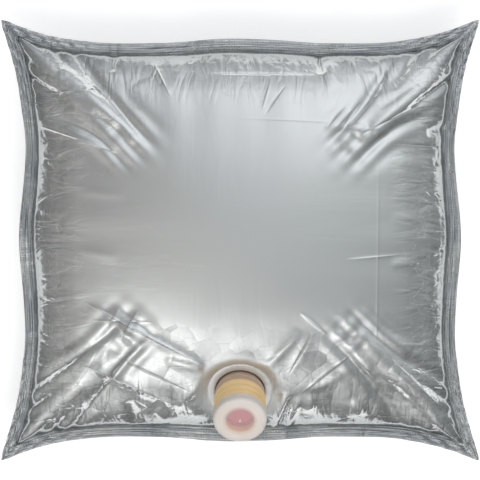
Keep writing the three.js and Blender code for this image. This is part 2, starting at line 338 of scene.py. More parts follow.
def crumpling(sheets):
    # 1 where the film resists being pushed together, and so wrinkles, and little on the smooth crown
    countY, countX = sheets.shape[1:3]
    u, v = np.meshgrid(np.linspace(-1, 1, countX), np.linspace(-1, 1, countY))
    fromSide = (1 - np.abs(u)) * halfX
    fromEnd = (1 - np.abs(v)) * halfY
    corner = hump(np.hypot(fromSide, fromEnd), relaxing["cornerReach"])
    hip = hump(fromSide - fromEnd, relaxing["hipWidth"]) * np.exp(-((fromSide + fromEnd) / relaxing["hipReach"]) ** 4)
    seal = relaxing["sealShare"] * np.exp(-np.minimum(fromSide, fromEnd) / relaxing["sealReach"])
    spout = relaxing["spoutShare"] * hump(landPlace(sheets[0])[1], relaxing["spoutReach"])
    return np.clip(np.maximum.reduce((corner, hip, seal, spout)), relaxing["leastResist"], 1)


def pullTogether(a, b, rest, stretchShare, resist):
    # film can't stretch, but it gives way when it is pushed together, the more so where it resists less
    across = b - a
    length = np.sqrt(np.einsum("...i,...i->...", across, across))
    share = np.where(length > rest, stretchShare, stretchShare * resist)
    move = across * (0.5 * share * (1 - rest / length))[..., None]
    a += move
    b -= move


def neighbours(sheets, resist, stepY, stepX, startY, startX):
    # every second pair of points that lie stepY rows and stepX columns apart, none used twice
    countY, countX = resist.shape
    apart = abs(stepX)
    rows, farRows = (slice(startY + add, countY - stepY + add, 1 + stepY) for add in (0, stepY))
    left, right = (slice(startX + add, countX - apart + add, 1 + apart) for add in (0, apart))
    columns, farColumns = (right, left) if stepX < 0 else (left, right)
    return sheets[:, rows, columns], sheets[:, farRows, farColumns], resist[rows, columns]


def stiffen(sheets, axis, share):
    # each point is drawn towards the middle of its two neighbours, and they the other way
    points = np.moveaxis(sheets, axis, 0)
    lift = share * (points[1:-1] - 0.5 * (points[:-2] + points[2:]))
    points[1:-1] -= 0.5 * lift
    points[:-2] += 0.25 * lift
    points[2:] += 0.25 * lift


def outward(sheets):
    normal = np.cross(np.gradient(sheets, axis=2), np.gradient(sheets, axis=1))
    normal[1] *= -1
    return normal


def filmFromEdge(countX, countY):
    across, down = np.meshgrid(np.linspace(0, relaxing["flatX"], countX), np.linspace(0, relaxing["flatY"], countY))
    return np.minimum.reduce((across, relaxing["flatX"] - across, down, relaxing["flatY"] - down))


def relaxFilm(sheets, target, steps, bend):
    # film that was cut flat is pressed out by the liquid until it holds its volume, near the form it is to have
    countY, countX = sheets.shape[1:3]
    stepX = relaxing["flatX"] / (countX - 1)
    stepY = relaxing["flatY"] / (countY - 1)
    sealed = filmFromEdge(countX, countY) < bag["sealWidth"]
    height, radial = landPlace(target[0])
    welded = (radial < bag["heldRadius"]) & (np.abs(height) < bag["heldHeight"])
    hold = np.where(sealed, relaxing["holdSeal"], relaxing["holdFilm"])[None, ..., None]
    resist = crumpling(target)
    speed = np.zeros_like(sheets)
    links = [(0, 1, 0, s) for s in (0, 1)] + [(1, 0, s, 0) for s in (0, 1)]
    links += [(1, way, s, t) for s in (0, 1) for t in (0, 1) for way in (1, -1)]
    for _ in range(steps):
        before = sheets
        sheets = sheets + speed
        push = outward(sheets)
        push[:, sealed] = 0
        depth = sheets[0, ..., 2].max() - sheets[..., 2]
        sheets += push / (stepX * stepY) * (relaxing["liquidPush"] * depth)[..., None]
        for downY, alongX, startY, startX in links:
            a, b, share = neighbours(sheets, resist, downY, alongX, startY, startX)
            rest = np.hypot(stepX * alongX, stepY * downY)
            pullTogether(a, b, rest, relaxing["shear"] if downY and alongX else 1.0, share)
        stiffen(sheets, 2, bend)
        stiffen(sheets, 1, bend)
        sheets[:, sealed] = sheets[:, sealed].mean(axis=0)
        volume = (sheets[..., 2] * push[..., 2]).sum()
        sheets += push * ((relaxing["volume"] - volume) / (push ** 2).sum())
        sheets += (target - sheets) * hold
        sheets[0][welded] = target[0][welded]
        sheets[1, ..., 2] = np.maximum(sheets[1, ..., 2], 0)
        speed = (sheets - before) * relaxing["damping"]
    return sheets


def finer(sheets):
    # the same sheets with a point put in between each two
    for axis in (1, 2):
        points = np.moveaxis(sheets, axis, 0)
        doubled = np.empty((2 * len(points) - 1, *points.shape[1:]))
        doubled[::2] = points
        doubled[1::2] = 0.5 * (points[:-1] + points[1:])
        sheets = np.ascontiguousarray(np.moveaxis(doubled, 0, axis))
    return sheets


def fillBag():
    sheets = None
    for number, (countX, countY, steps) in enumerate(relaxing["passes"]):
        target = formSheets(countX, countY)
        sheets = target.copy() if sheets is None else finer(sheets)
        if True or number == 0:
            isLast = number == len(relaxing["passes"]) - 1
            sheets = relaxFilm(sheets, target, steps, relaxing["lastBend" if isLast else "bend"])
        print("film relaxed on a grid of", countX, "by", countY)
    return sheets


def unitNormals(sheets):
    normal = outward(sheets)
    return normal / np.maximum(np.linalg.norm(normal, axis=-1, keepdims=True), 1e-12)


# creases of the upper film in millimetres, seen from above: start, end, height, width
ridges = [
    ((-147, 143), (-84, 78), 2.2, 5), ((-119, 104), (-88, 82), -1.8, 4), ((-170, 100), (-100, 72), 1.2, 4),
    ((-176, 122), (-120, 121), -1.0, 4), ((-106, 158), (-106, 138), -1.6, 4), ((-72, 146), (-58, 118), 0.9, 3),
    ((168, 140), (105, 88), 2.6, 6), ((150, 132), (112, 106), -1.6, 4), ((120, 88), (70, 92), 1.2, 4),
    ((66, 158), (66, 136), -1.6, 5), ((72, 150), (76, 122), 1.4, 5), ((174, 93), (154, 88), -1.8, 4),
    ((-128, -101), (-52, -136), 1.5, 4), ((-122, -54), (-30, -100), 1.6, 4), ((-82, -58), (-92, -77), 1.2, 3),
    ((-156, -118), (-106, -78), 2.0, 6), ((-115, -103), (-103, -79), -1.4, 4), ((-92, -132), (-86, -152), -2.4, 6),
    ((-68, -138), (-60, -152), 1.4, 5), ((-40, -132), (-33, -150), 1.4, 5),
    ((104, -104), (158, -152), -2.4, 7), ((122, -104), (166, -138), 1.8, 4), ((92, -92), (112, -112), 1.2, 4),
    ((90, -104), (56, -122), 1.2, 4), ((58, -76), (40, -108), 1.0, 4), ((94, -130), (98, -146), 1.8, 5),
    ((58, -126), (56, -142), 1.4, 5), ((38, -124), (27, -156), 3.4, 3.2), ((48, -128), (38, -156), 2.6, 3.2),
    ((43, -126), (33, -156), -2.4, 3), ((20, -104), (48, -74), 1.6, 4), ((-30, -104), (-60, -96), 1.8, 4),
    ((-36, -118), (-52, -138), 1.6, 4),
    ((122, -19), (146, -19), 1.1, 4), ((126, 62), (150, 62), 0.4, 4), ((124, 38), (150, 38), 0.4, 4),
    ((122, 16), (150, 16), 0.35, 4), ((-134, 40), (-92, 36), 0.35, 4), ((-134, -8), (-98, -14), 0.35, 4),
]
# how much higher they are made, the shape of their flanks and ends, and how far off the weld ring they fade in
ridgeForm = dict(rise=1.4, flankPower=1.5, endPower=0.6, spoutFade=0.008)
# what the film's height over the seal is multiplied by, for each distance in from the seal in metres
rimShares = [(0.0, 1.5), (0.006, 1.5), (0.010, 1.18), (0.014, 1.02), (0.020, 0.95), (0.028, 0.92), (0.040, 0.94),
             (0.055, 1.0)]
# how far off the spout's axis that has its full strength, and how far over the seal it starts, in metres
rimForm = dict(spoutFade=0.055, seamOver=0.0015)
# how far the corners stand out, and over what distance from them, in metres
ears = dict(stretch=0.0026, reach=0.045)


def raiseRidges(sheets):
    top = sheets[0]
    lift = np.zeros(top.shape[:2])
    for start, end, height, width in ridges:
        a = np.array(start) / 1000
        along = np.array(end) / 1000 - a
        away = top[..., :2] - a
        share = np.clip(away @ along / (along @ along), 0, 1)
        gap = np.linalg.norm(away - share[..., None] * along, axis=-1)
        flank = (1 + (gap / (width / 1000)) ** 2) ** ridgeForm["flankPower"]
        lift += ridgeForm["rise"] * height / 1000 / flank * (4 * share * (1 - share)) ** ridgeForm["endPower"]
    lift *= smoothStep(bag["weldRadius"], bag["weldRadius"] + ridgeForm["spoutFade"], landPlace(top)[1])
    top += unitNormals(sheets)[0] * lift[..., None]


def shapeRims(sheets):
    # the film stands up from the seal in a narrow wall, then goes on to the crown at an even slope
    countY, countX = sheets.shape[1:3]
    fromSeal = filmFromEdge(countX, countY) - bag["sealWidth"]
    places, shares = np.transpose(rimShares)
    raised = np.interp(fromSeal, places, shares - 1)
    offSpout = smoothStep(bag["weldRadius"], rimForm["spoutFade"], landPlace(sheets[0])[1])
    raised *= np.where(fromSeal < 0, 0, offSpout)
    seam = np.minimum(sheets[0, ..., 2], bag["sealHeight"] + rimForm["seamOver"])
    sheets[0, ..., 2] += (sheets[0, ..., 2] - seam) * raised


def stretchEars(sheets):
    # the four corners stand a little further out than the rest of the seal
    near = hump(np.linalg.norm((halfX, halfY) - np.abs(sheets[..., :2]), axis=-1), ears["reach"])
    sheets[..., :2] += np.sign(sheets[..., :2]) * (ears["stretch"] * near)[..., None]


def sinkUnderSpout(sheets):
    # the film is cut out inside the spout: here it dips out of sight below the weld ring
    height, radial = landPlace(sheets[0])
    inside = (radial < bag["spoutClear"]) & (np.abs(height) < bag["spoutClearHeight"])
    sheets[0][inside] -= bag["spoutDent"] * axisArray


def sheetsToMesh(sheets):
    countY, countX = sheets.shape[1:3]
    skin = sheets + unitNormals(sheets) * bag["sealThickness"] / 2
    skin[1, ..., 2] = np.maximum(skin[1, ..., 2], 0)
    index = np.arange(2 * countY * countX).reshape(2, countY, countX)
    quads = np.stack((index[:, :-1, :-1], index[:, :-1, 1:], index[:, 1:, 1:], index[:, 1:, :-1]), axis=-1)
    faces = [quads[0].reshape(-1, 4), quads[1].reshape(-1, 4)[:, ::-1]]
    for top, back in (index[:, 0], index[:, -1, ::-1], index[:, ::-1, 0], index[:, :, -1]):
        faces.append(np.stack((top[:-1], back[:-1], back[1:], top[1:]), axis=-1))
    mesh = bpy.data.meshes.new("filledBag")
    mesh.from_pydata(skin.reshape(-1, 3).tolist(), [], np.concatenate(faces).tolist())
    column, row = np.meshgrid(np.arange(countX), np.arange(countY))
    ring = np.minimum.reduce((column, countX - 1 - column, row, countY - 1 - row))
    for name, kind, number, values in (
            ("fromEdge", "FLOAT", np.float32, filmFromEdge(countX, countY)),
            ("crumpled", "FLOAT", np.float32, crumpling(sheets)), ("gridRing", "INT", np.int32, ring)):
        layer = mesh.attributes.new(name, kind, "POINT")
        layer.data.foreach_set("value", np.broadcast_to(values, (2, countY, countX)).reshape(-1).astype(number))
    mesh.shade_smooth()
    mesh.validate()
    return mesh


def addObject(name, data):
    piece = bpy.data.objects.new(name, data)
    scene.collection.objects.link(piece)
    return piece


def appliedMesh(piece, name):
    # the piece's mesh with its modifiers applied, which are then removed
    mesh = bpy.data.meshes.new_from_object(piece.evaluated_get(bpy.context.evaluated_depsgraph_get()))
    piece.modifiers.clear()
    mesh.shade_smooth()
    mesh.name = name
    return mesh


def recalculate(mesh):
    work = bmesh.new()
    work.from_mesh(mesh)
    bmesh.ops.recalc_face_normals(work, faces=work.faces)
    work.to_mesh(mesh)
    work.free()


sheets = fillBag()
shapeRims(sheets)
raiseRidges(sheets)
stretchEars(sheets)
sinkUnderSpout(sheets)
bagMesh = sheetsToMesh(sheets)
recalculate(bagMesh)
filledBag = addObject("filledBag", bagMesh)
print("bag made:", len(bagMesh.polygons), "faces")

crumpleGroup = makeCrumpleGroup()
creaseGroup = makeCreaseGroup()
gatherGroup = makeGatherGroup()
mouldedGroup = makeMouldedGroup()

# metallised film: its tones, how strong each kind of relief is, where it is crumpled or dull, and where painted shade
# darkens it
# frontCrumple, slopeCrumple and besideSpout are two places or distances in metres and the strength at each
# each band is a reach in metres in from the bag's edge, then shares of that reach and the strength there
foil = dict(
    colour=(0.72, 0.728, 0.722), dull=(0.48, 0.51, 0.54), paintedRimShade=(0.34, 0.355, 0.36), paintedRimShadeShare=0.8, cloudShare=0.08,
    roughness=0.14, cloudRoughness=0.06, sealRoughness=0.10, reliefStrength=1.0, reliefDepth=0.0005,
    crumpleScale=70.0, crumple=17.0, crumplePower=1.4, gathers=7.5, creases=1.6, stripes=0.22, stripePitch=0.0016,
    scores=3.5, scoresAcross=420.0, scoresAlong=16.0, scoreStops=[(0.40, 0.0), (0.62, 1.0)], cloudScale=9.0,
    patchScale=14.0, patchStops=[(0.38, 0.15), (0.62, 1.0)], spotScale=23.0, spotStops=[(0.40, 0.25), (0.58, 1.0)],
    frontCrumple=(-0.062, -0.098, 0.0, 0.55), slopeCrumple=(0.085, 0.020, 0.0, 0.16),
    besideSpout=(0.0270, 0.044, 0.24, 0.0), sealBand=(0.020, [(0.56, 1.0), (0.62, 0.0)]),
    gatherBand=(0.10, [(0.10, 0.6), (0.45, 1.0), (0.80, 0.04)]),
    # painted shade: the steep wall just inside the seal is darkened towards a dark grey, standing in for the dark
    # surroundings it reflects
    paintedRimShadeBand=(0.060, [(0.18, 0.1), (0.22, 1.0), (0.42, 0.85), (0.75, 0.0)]),
)
# fine straight creases in millimetres, seen from above: start, end, width, depth
fineCreases = [
    ((-29, 136), (66, 136), 0.9, -1.0), ((66, 136), (66, 160), 1.1, -1.4), ((0, 98), (78, 95), 0.8, 0.35),
    ((112, 70), (110, -95), 0.9, 0.35), ((37, 126), (20, 101), 0.7, -0.8), ((26, 134), (18, 105), 0.7, 0.7),
    ((85, 108), (70, 91), 0.7, -0.9), ((91, 106), (78, 91), 0.7, 0.9), ((98, 112), (84, 92), 0.7, -0.7),
    ((-128, -101), (-52, -136), 0.9, 1.2), ((-126, -50), (-27, -102), 0.9, 1.4),
    ((-100, -94), (-40, -124), 0.8, -0.9), ((-82, -57), (-96, -80), 0.8, 1.0),
    ((-97, -55), (-107, -71), 0.8, 0.8), ((-120, -65), (-70, -66), 0.8, 0.6),
    ((48, -58), (70, -76), 0.8, 1.0), ((58, -74), (40, -108), 0.8, -1.0), ((90, -92), (50, -124), 0.8, 1.0),
    ((-170, 96), (-98, 70), 0.9, 1.0), ((-172, 121), (-118, 122), 0.9, 0.9), ((-72, 148), (-56, 116), 0.8, 1.0),
    ((168, -140), (110, -84), 0.9, 1.2), ((130, -12), (84, -16), 0.8, 0.6), ((150, 112), (96, 84), 0.9, -1.0),
]


def bandOf(tree, fromEdge, reach, stops):
    return rampOf(tree, maths(tree, "DIVIDE", fromEdge, reach), stops)


def crumpleAmount(tree, place, fromEdge):
    # most where the filled film wrinkled, but the slope in front of the crown has it too, and the others a little
    crumpled = addNode(tree, "ShaderNodeAttribute", attribute_name="crumpled").outputs["Fac"]
    patches = rampOf(tree, addNoise(tree, place, foil["patchScale"], 3.0)[0], foil["patchStops"])
    wrinkled = product(tree, maths(tree, "POWER", crumpled, foil["crumplePower"]), patches)
    front = mapRange(tree, splitPlace(tree, place)["Y"], *foil["frontCrumple"])
    around = mapRange(tree, fromEdge, *foil["slopeCrumple"], smooth=False)
    spots = rampOf(tree, addNoise(tree, place, foil["spotScale"], 2.0)[0], foil["spotStops"])
    return maths(tree, "MAXIMUM", wrinkled, product(tree, maths(tree, "MAXIMUM", front, around), spots))


def filmRelief(tree, place, fromEdge, seal, scores):
    crumple = useGroup(tree, crumpleGroup, Place=place, Scale=foil["crumpleScale"])["Height"]
    crumple = product(tree, crumple, crumpleAmount(tree, place, fromEdge), foil["crumple"])
    gathers = useGroup(tree, gatherGroup, Place=place)["Height"]
    gathers = product(tree, gathers, bandOf(tree, fromEdge, *foil["gatherBand"]), foil["gathers"])
    height = maths(tree, "ADD", crumple, gathers)
    for start, end, width, depth in fineCreases:
        line = useGroup(
            tree, creaseGroup, Place=place, From=(start[0] / 1000, start[1] / 1000, 0),
            Along=((end[0] - start[0]) / 1000, (end[1] - start[1]) / 1000, 0),
            Width=width / 1000, Depth=depth * foil["creases"])
        height = maths(tree, "ADD", height, line["Height"])
    stripes = maths(tree, "SINE", product(tree, fromEdge, 2 * pi / foil["stripePitch"]))
    for marks, strength in ((stripes, foil["stripes"]), (scores, foil["scores"])):
        height = maths(tree, "ADD", height, product(tree, marks, seal, strength))
    return height


def makeFilmMaterial():
    material, tree, shader = makeMaterial("metallisedFilm")
    place = addNode(tree, "ShaderNodeTexCoord").outputs["Object"]
    fromEdge = addNode(tree, "ShaderNodeAttribute", attribute_name="fromEdge").outputs["Fac"]
    seal = bandOf(tree, fromEdge, *foil["sealBand"])
    # scores that run along the seal: drawn out along it, and close together across it
    parts = splitPlace(tree, place)
    drawnOut = addNode(tree, "ShaderNodeCombineXYZ", {
        0: product(tree, fromEdge, foil["scoresAcross"]),
        1: product(tree, maths(tree, "ADD", parts["X"], parts["Y"]), foil["scoresAlong"])}).outputs[0]
    scores = addNoise(tree, drawnOut, 1.0, 3.0)[0]
    relief = filmRelief(tree, place, fromEdge, seal, scores)
    cloud = addNoise(tree, place, foil["cloudScale"], 4.0)[0]
    worn = product(tree, seal, rampOf(tree, scores, foil["scoreStops"]))
    worn = maths(tree, "MAXIMUM", worn, product(tree, cloud, foil["cloudShare"]))
    colour = mixColours(tree, worn, foil["colour"], foil["dull"])
    # painted shade: a band just inside the seal is mixed towards a dark grey, for the dark reflection on the steep
    # wall there
    paintedRimShade = product(tree, bandOf(tree, fromEdge, *foil["paintedRimShadeBand"]), foil["paintedRimShadeShare"])
    rough = maths(tree, "ADD", foil["roughness"], product(tree, cloud, foil["cloudRoughness"]))
    rough = maths(tree, "ADD", rough, product(tree, seal, foil["sealRoughness"]))
    beside = mapRange(tree, axisDistance(tree, place), *foil["besideSpout"])
    feed(tree, shader, {
        "Base Color": mixColours(tree, paintedRimShade, colour, foil["paintedRimShade"]), "Normal": addBump(tree, relief, foil),
        "Roughness": maths(tree, "ADD", rough, beside), "Metallic": maths(tree, "SUBTRACT", 1.0, beside)})
    return material


film = makeFilmMaterial()
filledBag.data.materials.append(film)

# ribs pressed by the sealing bars, in metres: the rings of the bag's own grid that they follow
ribs = dict(rings=(2, 4), radius=0.00058, sides=6)


def makeRibTree():
    tree, given, result = newGroup("sealRibs", {
        "Geometry": "Geometry", "Ring": "Int", "Radius": "Float", "Material": "Material",
    }, {"Geometry": "Geometry"}, kind="GeometryNodeTree")
    ring = addNode(tree, "GeometryNodeInputNamedAttribute", {"Name": "gridRing"}, data_type="INT")
    onRing = addNode(tree, "FunctionNodeCompare", {2: ring.outputs["Attribute"], 3: given["Ring"]},
                     data_type="INT", operation="EQUAL")
    path = addNode(tree, "GeometryNodeMeshToCurve", {"Mesh": given["Geometry"], "Selection": onRing.outputs[0]})
    section = addNode(tree, "GeometryNodeCurvePrimitiveCircle", {
        "Resolution": ribs["sides"], "Radius": given["Radius"]})
    rib = addNode(tree, "GeometryNodeCurveToMesh", {"Curve": path.outputs[0], "Profile Curve": section.outputs[0]})
    solid = addNode(tree, "GeometryNodeRealizeInstances", {0: rib.outputs[0]})
    coated = addNode(tree, "GeometryNodeSetMaterial", {"Geometry": solid.outputs[0], "Material": given["Material"]})
    feed(tree, result, {0: coated.outputs[0]})
    return tree


def bakeNodes(source, name, tree, values):
    modifier = source.modifiers.new(name, "NODES")
    modifier.node_group = tree
    for item in tree.interface.items_tree:
        if item.in_out == "INPUT" and item.name in values:
            modifier[item.identifier] = values[item.name]
    return appliedMesh(source, name)


ribTree = makeRibTree()
sealRibs = []
for ring in ribs["rings"]:
    name = "sealRib" + str(ring)
    mesh = bakeNodes(filledBag, name, ribTree, {"Ring": ring, "Radius": ribs["radius"], "Material": film})
    sealRibs.append(addObject(name, mesh))
print("seal ribs made")


# how finely the turned pieces are made, and how their edges are rounded, in metres
turning = dict(steps=128, bevel=0.0003, fineBevel=0.0002, bevelFrom=radians(28), bevelSegments=2, joinedWithin=1e-6)


def turned(name, profile, bevel=turning["bevel"], steps=turning["steps"]):
    # a turned piece: its profile of (radius, height) spun round the fitment's axis
    work = bmesh.new()
    loop = [work.verts.new((radius, 0, height)) for radius, height in profile]
    edges = [work.edges.new(pair) for pair in zip(loop, loop[1:])]
    if profile[0][0] > 0:
        edges.append(work.edges.new((loop[-1], loop[0])))
    bmesh.ops.spin(work, geom=loop + edges, cent=(0, 0, 0), axis=(0, 0, 1), angle=2 * pi, steps=steps,
                   use_merge=True)
    bmesh.ops.remove_doubles(work, verts=work.verts, dist=turning["joinedWithin"])
    bmesh.ops.recalc_face_normals(work, faces=work.faces)
    place = Matrix.Translation(fitment["base"]) @ Matrix.Rotation(fitment["lean"], 4, "X")
    bmesh.ops.transform(work, matrix=place, verts=work.verts)
    mesh = bpy.data.meshes.new(name)
    work.to_mesh(mesh)
    work.free()
    piece = addObject(name, mesh)
    rounding = piece.modifiers.new("rounding", "BEVEL")
    rounding.width = bevel
    rounding.segments = turning["bevelSegments"]
    rounding.angle_limit = turning["bevelFrom"]
    piece.data = appliedMesh(piece, name)
    return piece


# the fitment's sizes in metres, as the CAD has them
spout = dict(bore=0.0172, neck=0.0192, collar=0.0202, collarBottom=0.0034, collarTop=0.0066, collarBevel=0.0006,
             top=0.0113, flange=0.0256, flangeTop=-0.0011, flangeBottom=-0.0029)
# the film welded over the flange: its slit round the neck, its bottom, and how wide its sloping edges are
weld = dict(shadedSlit=0.0003, bottom=-0.0006, innerTop=0.0022, innerEdge=0.0016, innerShare=0.6, outerEdge=0.0010,
            outerShare=0.4)
valve = dict(ribBottom=0.0116, ribCount=3, ribPitch=0.0068, ribRadius=0.021, valleyRadius=0.0201, ribSteps=8,
             ribRound=0.35, ribShare=0.92, spigot=0.0197, spigotLength=0.0078, socket=0.012, seatLength=0.012,
             chamber=0.0144, chamberLength=0.012, web=0.0026, plug=0.0169, plugBottom=-0.0026, stemHole=0.0049,
             chamfer=0.0008)
poppet = dict(depth=0.0074, head=0.0044, radius=0.0117, stem=0.0046, stemBottom=0.0096, stemBevel=0.001,
              groove=0.0016, grooveWidth=0.0024, dish=0.0095, dishDepth=0.0008)
ringSeal = dict(slack=0.00025, wallGap=0.0002, sides=12, bevel=0.00005, steps=96)
cap = dict(clearance=0.0003, wall=0.0013, face=0.0014, edge=0.0026, edgeSteps=8, innerBevel=0.001, gate=0.0013,
           gateTop=0.7, gateHeight=0.00035)
ribTop = valve["ribBottom"] + valve["ribCount"] * valve["ribPitch"]
mouth = ribTop + valve["spigotLength"]
chamberTop = mouth - valve["seatLength"]
webTop = chamberTop - valve["chamberLength"]


def makeSpout():
    bore, neck, collar, flange = (spout[key] for key in ("bore", "neck", "collar", "flange"))
    return turned("spoutNeck", [
        (bore, spout["flangeBottom"]), (flange, spout["flangeBottom"]), (flange, spout["flangeTop"]),
        (neck, spout["flangeTop"]), (neck, spout["collarBottom"]),
        (collar, spout["collarBottom"] + spout["collarBevel"]), (collar, spout["collarTop"] - spout["collarBevel"]),
        (neck, spout["collarTop"]), (neck, spout["top"]), (bore, spout["top"])])


def makeWeldRing():
    neck, outer, top = spout["neck"], bag["weldRadius"], bag["weldHeight"]
    return turned("weldRing", [
        (neck + weld["shadedSlit"], weld["bottom"]), (outer, weld["bottom"]), (outer, top * weld["outerShare"]),
        (outer - weld["outerEdge"], top), (neck + weld["innerTop"], top),
        (neck + weld["innerEdge"], top * weld["innerShare"]), (neck + weld["shadedSlit"], top * weld["innerShare"]),
    ], bevel=turning["fineBevel"])


def makeValveBody():
    plug, chamber, socket, spigot, stemHole, chamfer = (
        valve[key] for key in ("plug", "chamber", "socket", "spigot", "stemHole", "chamfer"))
    ribbed = []
    for number in range(valve["ribCount"]):
        start = valve["ribBottom"] + number * valve["ribPitch"]
        for part in range(valve["ribSteps"] + 1):
            share = part / valve["ribSteps"]
            swell = sin(pi * share) ** valve["ribRound"] if 0 < share < 1 else 0
            ribbed.append((valve["valleyRadius"] + (valve["ribRadius"] - valve["valleyRadius"]) * swell,
                           start + ((1 - valve["ribShare"]) / 2 + valve["ribShare"] * share) * valve["ribPitch"]))
    webBottom = webTop - valve["web"]
    return turned("valveBody", [
        (chamber, valve["plugBottom"]), (plug, valve["plugBottom"]), (plug, valve["ribBottom"]), *ribbed,
        (spigot, ribTop), (spigot, mouth - chamfer), (spigot - chamfer, mouth), (socket + chamfer, mouth),
        (socket, mouth - chamfer), (socket, chamberTop), (chamber, chamberTop - (chamber - socket)),
        (chamber, webTop), (stemHole, webTop), (stemHole, webBottom), (chamber, webBottom),
    ], bevel=turning["fineBevel"])


def makePoppet():
    radius, stem, bevel, bottom = (poppet[key] for key in ("radius", "stem", "stemBevel", "stemBottom"))
    face = mouth - poppet["depth"]
    under = face - poppet["head"]
    middle = (face + under) / 2
    inner = radius - poppet["groove"]
    half = poppet["grooveWidth"] / 2
    return turned("poppetPlunger", [
        (0, bottom), (stem - bevel, bottom), (stem, bottom + bevel), (stem, under), (radius, under),
        (radius, middle - half), (inner, middle - half), (inner, middle + half), (radius, middle + half),
        (radius, face), (poppet["dish"], face), (poppet["dish"], face - poppet["dishDepth"]),
        (0, face - poppet["dishDepth"])])


def makeSealRing():
    face = mouth - poppet["depth"]
    middle = face - poppet["head"] / 2
    inner = poppet["radius"] - poppet["groove"] + ringSeal["slack"]
    outer = valve["socket"] - ringSeal["wallGap"]
    centre = (inner + outer) / 2
    reach = poppet["grooveWidth"] / 2 - ringSeal["slack"]
    turns = [2 * pi * side / ringSeal["sides"] for side in range(ringSeal["sides"])]
    profile = [(centre + (outer - inner) / 2 * cos(turn), middle + reach * sin(turn)) for turn in turns]
    return turned("sealRing", profile, bevel=ringSeal["bevel"], steps=ringSeal["steps"])


def makeDustCap():
    inner = valve["spigot"] + cap["clearance"]
    outer = inner + cap["wall"]
    innerFace = mouth + cap["clearance"]
    outerFace = innerFace + cap["face"]
    bottom = ribTop + cap["clearance"]
    turns = [pi / 2 * step / cap["edgeSteps"] for step in range(cap["edgeSteps"] + 1)]
    edge = [(outer - cap["edge"] * (1 - cos(turn)), outerFace - cap["edge"] * (1 - sin(turn))) for turn in turns]
    return turned("dustCap", [
        (0, innerFace), (inner - cap["innerBevel"], innerFace), (inner, innerFace - cap["innerBevel"]),
        (inner, bottom), (outer, bottom), *edge,
        (cap["gate"], outerFace), (cap["gate"] * cap["gateTop"], outerFace + cap["gateHeight"]),
        (0, outerFace + cap["gateHeight"])])


weldRing = makeWeldRing()
spoutNeck = makeSpout()
valveBody = makeValveBody()
poppetPlunger = makePoppet()
sealRing = makeSealRing()
dustCap = makeDustCap()
print("fitment made")

plastics = dict(
    natural=dict(colour=(0.66, 0.50, 0.36), shade=(0.54, 0.38, 0.27), roughness=0.42),
    amber=dict(colour=(0.99, 0.71, 0.36), shade=(0.93, 0.61, 0.27), roughness=0.36),
    red=dict(colour=(0.58, 0.06, 0.10), shade=(0.48, 0.04, 0.07), roughness=0.40),
    rubber=dict(colour=(0.03, 0.03, 0.03), shade=(0.05, 0.05, 0.05), roughness=0.65),
    frosted=dict(colour=(0.90, 0.88, 0.87), shade=(0.86, 0.83, 0.81), roughness=0.38, through=0.82, rimThrough=0.46),
)
# what a plastic's cloudy tone and scuffs do to it, and where the frosted cap is thin, in metres off its axis
plastic = dict(cloudStops=[(0.35, 0.0), (0.70, 1.0)], cloudRoughness=0.10, scuffRoughness=0.12, scuffDepth=-0.6,
               reliefStrength=0.25, reliefDepth=0.0002, thinWithin=0.0095, thickFrom=0.0150, gateWithin=0.0006,
               gateTo=0.0014, gateOpacity=0.55)


def makePlastic(name, finish):
    material, tree, shader = makeMaterial(name + "Plastic")
    place = addNode(tree, "ShaderNodeTexCoord").outputs["Object"]
    surface = useGroup(tree, mouldedGroup, Place=place)
    shade = rampOf(tree, surface["Cloud"], plastic["cloudStops"])
    cloudShare = plastic["cloudRoughness"]
    rough = maths(tree, "ADD", finish["roughness"] - cloudShare / 2, product(tree, surface["Cloud"], cloudShare))
    scuffed = product(tree, surface["Scuffs"], plastic["scuffRoughness"])
    height = maths(tree, "ADD", surface["Grain"], product(tree, surface["Scuffs"], plastic["scuffDepth"]))
    feed(tree, shader, {
        "Base Color": mixColours(tree, shade, finish["colour"], finish["shade"]),
        "Normal": addBump(tree, height, plastic), "Roughness": maths(tree, "ADD", rough, scuffed)})
    if "through" in finish:
        # the cap's face is thinner in the middle, so more shows through there, except at its gate
        radial = axisDistance(tree, place)
        wall = mapRange(tree, radial, plastic["thinWithin"], plastic["thickFrom"],
                        1 - finish["through"], 1 - finish["rimThrough"])
        gate = mapRange(tree, radial, plastic["gateWithin"], plastic["gateTo"], plastic["gateOpacity"], 0.0, False)
        feed(tree, shader, {"Alpha": maths(tree, "MAXIMUM", wall, gate)})
    return material


for piece, finish in ((spoutNeck, "natural"), (valveBody, "amber"), (poppetPlunger, "red"), (sealRing, "rubber"),
                      (dustCap, "frosted")):
    piece.data.materials.append(makePlastic(finish, plastics[finish]))

# the film over the welded flange, paler and less crumpled than the rest, with painted shadow round the neck: a dark
# maroon band for the shade in the slit there
welded = dict(colour=(0.86, 0.86, 0.85), shade=(0.76, 0.77, 0.77), shadedSlit=(0.07, 0.035, 0.035), slitShadeTo=0.0203,
              filmFrom=0.0208, crumpleScale=190.0, reliefStrength=0.5, reliefDepth=0.0003, metallic=0.6,
              roughness=0.38)


def makeWeldMaterial():
    material, tree, shader = makeMaterial("weldedFilm")
    place = addNode(tree, "ShaderNodeTexCoord").outputs["Object"]
    crumple = useGroup(tree, crumpleGroup, Place=place, Scale=welded["crumpleScale"])
    tone = mixColours(tree, crumple["Facets"], welded["colour"], welded["shade"])
    # painted shadow: close to the neck the ring is coloured dark maroon and not metallic, standing in for the shade
    # in the gap
    isFilm = mapRange(tree, axisDistance(tree, place), welded["slitShadeTo"], welded["filmFrom"], smooth=False)
    feed(tree, shader, {
        "Base Color": mixColours(tree, isFilm, welded["shadedSlit"], tone),
        "Normal": addBump(tree, crumple["Height"], welded),
        "Metallic": product(tree, isFilm, welded["metallic"]), "Roughness": welded["roughness"]})
    return material


weldRing.data.materials.append(makeWeldMaterial())

